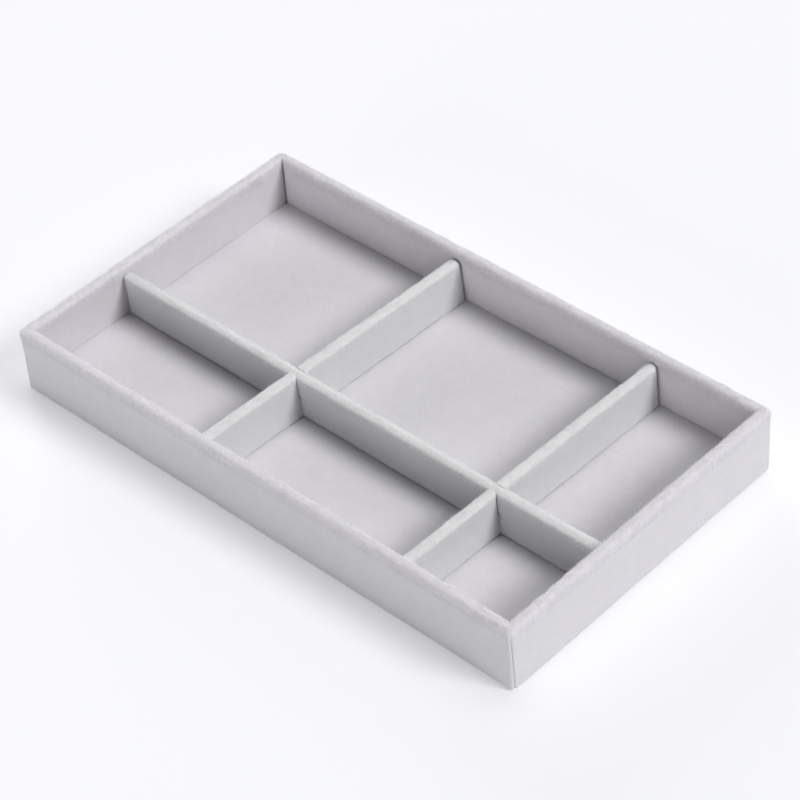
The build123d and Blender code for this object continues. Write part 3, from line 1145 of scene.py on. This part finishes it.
class TRAY_OT_divider_covers(bpy.types.Operator):
    """Cover the three halved dividers with velvet, slotted where they cross"""

    bl_idname = "jewelry_tray.divider_covers"
    bl_label = "Divider covers"

    def execute(self, context):
        dividers = context.scene.jewelry_tray.dividers
        lines = divider_lines()
        lap = (LONG_HIGH.z - LONG_LOW.z) / 2
        half = dividers.slot / 2
        long_line = lines["long_divider"]
        slots = []
        for name in CROSS_NAMES:
            middle, turn = lines[name]
            crossing = middle.x + (LONG_Y - middle.y) / math.tan(turn)
            slots.append((crossing - long_line[0].x, half, -1.0, lap))

        def bent(along, up):
            """The long divider's right end bends back, and its top turns against its foot."""
            bend = dividers.bow * np.clip(BOW_RATE * along - BOW_START, 0, 1) ** 2
            return bend + dividers.twist / 2 * along * up

        length, corner = LONG_HIGH.x - LONG_LOW.x, dividers.long_corner
        divider_cover("long_divider", length, slots, long_line, corner, seed=4, stray=bent)
        leans = (dividers.left_lean, dividers.right_lean)
        corners = (dividers.left_corner, dividers.right_corner)
        for seed, (name, lean, corner) in enumerate(zip(CROSS_NAMES, leans, corners), 5):
            middle, turn = lines[name]
            low, high = CROSS_BOXES[name]
            length = (high.y - low.y - DIVIDER * abs(math.cos(turn))) / math.sin(turn)
            slots = [((LONG_Y - middle.y) / math.sin(turn), half, lap, 1.0)]

            def leaning(along, up, lean=lean):
                """The cross divider's top lies to the left of its foot."""
                return lean / 2 * up

            divider_cover(name, length, slots, lines[name], corner, seed, leaning)
        return {"FINISHED"}


class TRAY_OT_underside_felt(bpy.types.Operator):
    """Lay the felt sheet that covers the underside"""

    bl_idname = "jewelry_tray.underside_felt"
    bl_label = "Underside felt"

    def execute(self, context):
        half = (FELT_HIGH.z - FELT_LOW.z) / 2 - FELT_SHY
        us, vs = slab_grid(FELT_LOW, FELT_HIGH, FELT_STEP, FELT_EDGE, FELT_CORNER)
        points, faces, _ = soft_board(us, vs, half, FELT_EDGE, FELT_CORNER, bulge=FELT_BULGE)
        points[:, 2] += (FELT_LOW.z + FELT_HIGH.z) / 2
        piece = new_piece("felt_sheet", points, faces)
        soften(piece, finish_of("felt"), FELT_WAVE, SLAB_WAVES, seed=8)
        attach(piece, TRAY_BODY)
        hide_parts("underside_felt")
        return {"FINISHED"}


def stand_pile(name, skins, finish, body, seed):
    """Pile of one body: fibres on the soft edges of several skins."""
    pile = bpy.context.scene.jewelry_tray.pile
    points, faces, softness = [], [], []
    for skin in skins:
        start = len(points)
        mesh = bpy.data.meshes[skin + "_skin"]
        points += [tuple(vertex.co) for vertex in mesh.vertices]
        faces += [tuple(start + place for place in face.vertices) for face in mesh.polygons]
        softness += [item.value for item in mesh.attributes["soft_edge"].data]
    piece = new_piece(name, points, faces, softness)
    values = {**by_name(pile), "Seed": pile.seed + seed, "Material": finish_of(finish)}
    grow(piece, bpy.data.node_groups.get("Pile") or pile_tree(), values)
    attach(piece, body)


class TRAY_OT_pile(bpy.types.Operator):
    """Stand the short pile along the rim and the dividers' soft edges"""

    bl_idname = "jewelry_tray.pile"
    bl_label = "Pile"

    def execute(self, context):
        stand_pile("rim_pile", ["wall_wrap"], "tray_pile", TRAY_BODY, seed=0)
        stand_pile("rim_pile_between", ["wall_wrap"], "tray_pile", TRAY_BODY, seed=60)
        covers = ["long_divider_cover"] + [name + "_cover" for name in CROSS_NAMES]
        stand_pile("divider_pile", covers, "divider_pile", GRID_BODY, seed=20)
        stand_pile("pad_pile", ["floor_pad"], "tray_velvet", TRAY_BODY, seed=40)
        return {"FINISHED"}


# Stage


def add_camera(stage):
    """Camera at the photograph's angle, turned a little about its own line of sight."""
    az, el, roll = stage.azimuth, stage.elevation, stage.roll
    back = Vector((math.sin(az) * math.cos(el), -math.cos(az) * math.cos(el), math.sin(el)))
    right = Vector((0, 0, 1)).cross(back).normalized()
    up = back.cross(right)
    side = right * math.cos(roll) + up * math.sin(roll)
    top = -right * math.sin(roll) + up * math.cos(roll)
    place = back * stage.distance + side * stage.aside[0] + top * stage.aside[1]
    camera = bpy.data.objects.new("camera", bpy.data.cameras.new("camera"))
    camera.data.lens = stage.lens
    camera.data.sensor_width = SENSOR
    camera.data.clip_start, camera.data.clip_end = NEAREST, FARTHEST
    axes = Matrix((side, top, back)).transposed().to_4x4()
    camera.matrix_world = Matrix.Translation(place) @ axes
    bpy.context.scene.collection.objects.link(camera)
    bpy.context.scene.camera = camera


def seen_by_camera(tree):
    """1 for what the camera sees, straight, in a gloss or through glass."""
    rays = tree.nodes.new("ShaderNodeLightPath").outputs
    seen = Field(tree, rays["Is Camera Ray"])
    for kind in ("Is Glossy Ray", "Is Transmission Ray"):
        seen = seen.math("MAXIMUM", Field(tree, rays[kind]))
    return seen


def lit(tree, kind, color, strength=None):
    """Shader node with its colour, and its strength where it has one."""
    made = tree.nodes.new(kind)
    made.inputs[0].default_value = rgba(color)
    if strength is not None:
        made.inputs[1].default_value = strength
    return made


def mixed(tree, share, first, second):
    """Mix of two shader nodes by a share of the second."""
    mix = tree.nodes.new("ShaderNodeMixShader")
    feed(tree, mix.inputs[0], share)
    tree.links.new(first.outputs[0], mix.inputs[1])
    tree.links.new(second.outputs[0], mix.inputs[2])
    return mix


def add_floor(stage):
    """Pale floor that shows from above only, partly glowing for the camera."""
    reach, level = FLOOR_REACH, CAD_BOX[0].z - FLOOR_GAP
    corners = [(x * reach, y * reach, level) for x, y in ((-1, -1), (1, -1), (1, 1), (-1, 1))]
    mesh = bpy.data.meshes.new("floor")
    mesh.from_pydata(corners, [], [(0, 1, 2, 3)])
    floor = bpy.data.objects.new("floor", mesh)
    bpy.context.scene.collection.objects.link(floor)
    paint = bpy.data.materials.new("floor")
    paint.use_nodes = True
    tree = paint.node_tree
    tree.nodes.clear()
    glow = lit(tree, "ShaderNodeEmission", stage.floor, 1.0)
    pale = lit(tree, "ShaderNodeBsdfDiffuse", stage.floor)
    mix = mixed(tree, seen_by_camera(tree) * stage.floor_glow, pale, glow)
    under = node(tree, "ShaderNodeNewGeometry", output="Backfacing")
    mix = mixed(tree, under, mix, tree.nodes.new("ShaderNodeBsdfTransparent"))
    out = tree.nodes.new("ShaderNodeOutputMaterial")
    tree.links.new(mix.outputs[0], out.inputs[0])
    mesh.materials.append(paint)


def add_sky(stage):
    """Even light from all round, behind which the camera sees the floor's colour."""
    world = bpy.data.worlds.new("studio")
    world.use_nodes = True
    bpy.context.scene.world = world
    tree = world.node_tree
    tree.nodes.clear()
    shown_sky = lit(tree, "ShaderNodeBackground", stage.floor, 1.0)
    sky = lit(tree, "ShaderNodeBackground", (1, 1, 1), stage.sky)
    mix = mixed(tree, seen_by_camera(tree), sky, shown_sky)
    out = tree.nodes.new("ShaderNodeOutputWorld")
    tree.links.new(mix.outputs[0], out.inputs[0])


def add_sun(name, strength, size, place):
    """Lamp that shines evenly from one side of the tray."""
    lamp = bpy.data.lights.new(name, "SUN")
    lamp.energy = strength
    lamp.angle = size
    light = bpy.data.objects.new(name, lamp)
    light.rotation_mode = "QUATERNION"
    light.rotation_quaternion = Vector(place).to_track_quat("Z", "Y")
    light.location = Vector(place).normalized() * LAMP_DISTANCE
    bpy.context.scene.collection.objects.link(light)


class TRAY_OT_stage(bpy.types.Operator):
    """Set up the camera, the pale floor and the soft studio light"""

    bl_idname = "jewelry_tray.stage"
    bl_label = "Stage"

    def execute(self, context):
        stage = context.scene.jewelry_tray.stage
        context.scene.view_settings.view_transform = "Standard"
        add_camera(stage)
        add_floor(stage)
        for name in ("key", "side", "fill", "rim"):
            strength = getattr(stage, name)
            size, place = getattr(stage, name + "_size"), getattr(stage, name + "_place")
            add_sun(name + "_light", strength, size, place)
        add_sky(stage)
        return {"FINISHED"}


PIECES = (
    TRAY_OT_stage,
    TRAY_OT_finishes,
    TRAY_OT_wall_wrap,
    TRAY_OT_floor_pad,
    TRAY_OT_divider_covers,
    TRAY_OT_underside_felt,
    TRAY_OT_pile,
)


class VIEW3D_PT_jewelry_tray(bpy.types.Panel):
    """Settings and pieces of the tray"""

    bl_idname = "VIEW3D_PT_jewelry_tray"
    bl_label = "Jewelry Tray"
    bl_space_type = "VIEW_3D"
    bl_region_type = "UI"
    bl_category = "Jewelry Tray"

    def draw(self, context):
        settings = context.scene.jewelry_tray
        for part in shown(settings):
            group = getattr(settings, part.identifier)
            box = self.layout.box()
            box.label(text=part.name)
            for prop in shown(group):
                box.prop(group, prop.identifier)
        for piece in PIECES:
            self.layout.operator(piece.bl_idname)


CLASSES = (
    *(WrapSettings, PadSettings, DividerSettings, PileSettings, FinishSettings, StageSettings),
    TraySettings,
    *PIECES,
    VIEW3D_PT_jewelry_tray,
)


def register():
    for item in CLASSES:
        bpy.utils.register_class(item)
    bpy.types.Scene.jewelry_tray = PointerProperty(type=TraySettings)


def unregister():
    del bpy.types.Scene.jewelry_tray
    for item in reversed(CLASSES):
        bpy.utils.unregister_class(item)


def main():
    """Registers the add-on and makes every piece."""
    register()
    for piece in PIECES:
        group, name = piece.bl_idname.split(".")
        getattr(getattr(bpy.ops, group), name)()


if __name__ == "__main__":
    main()
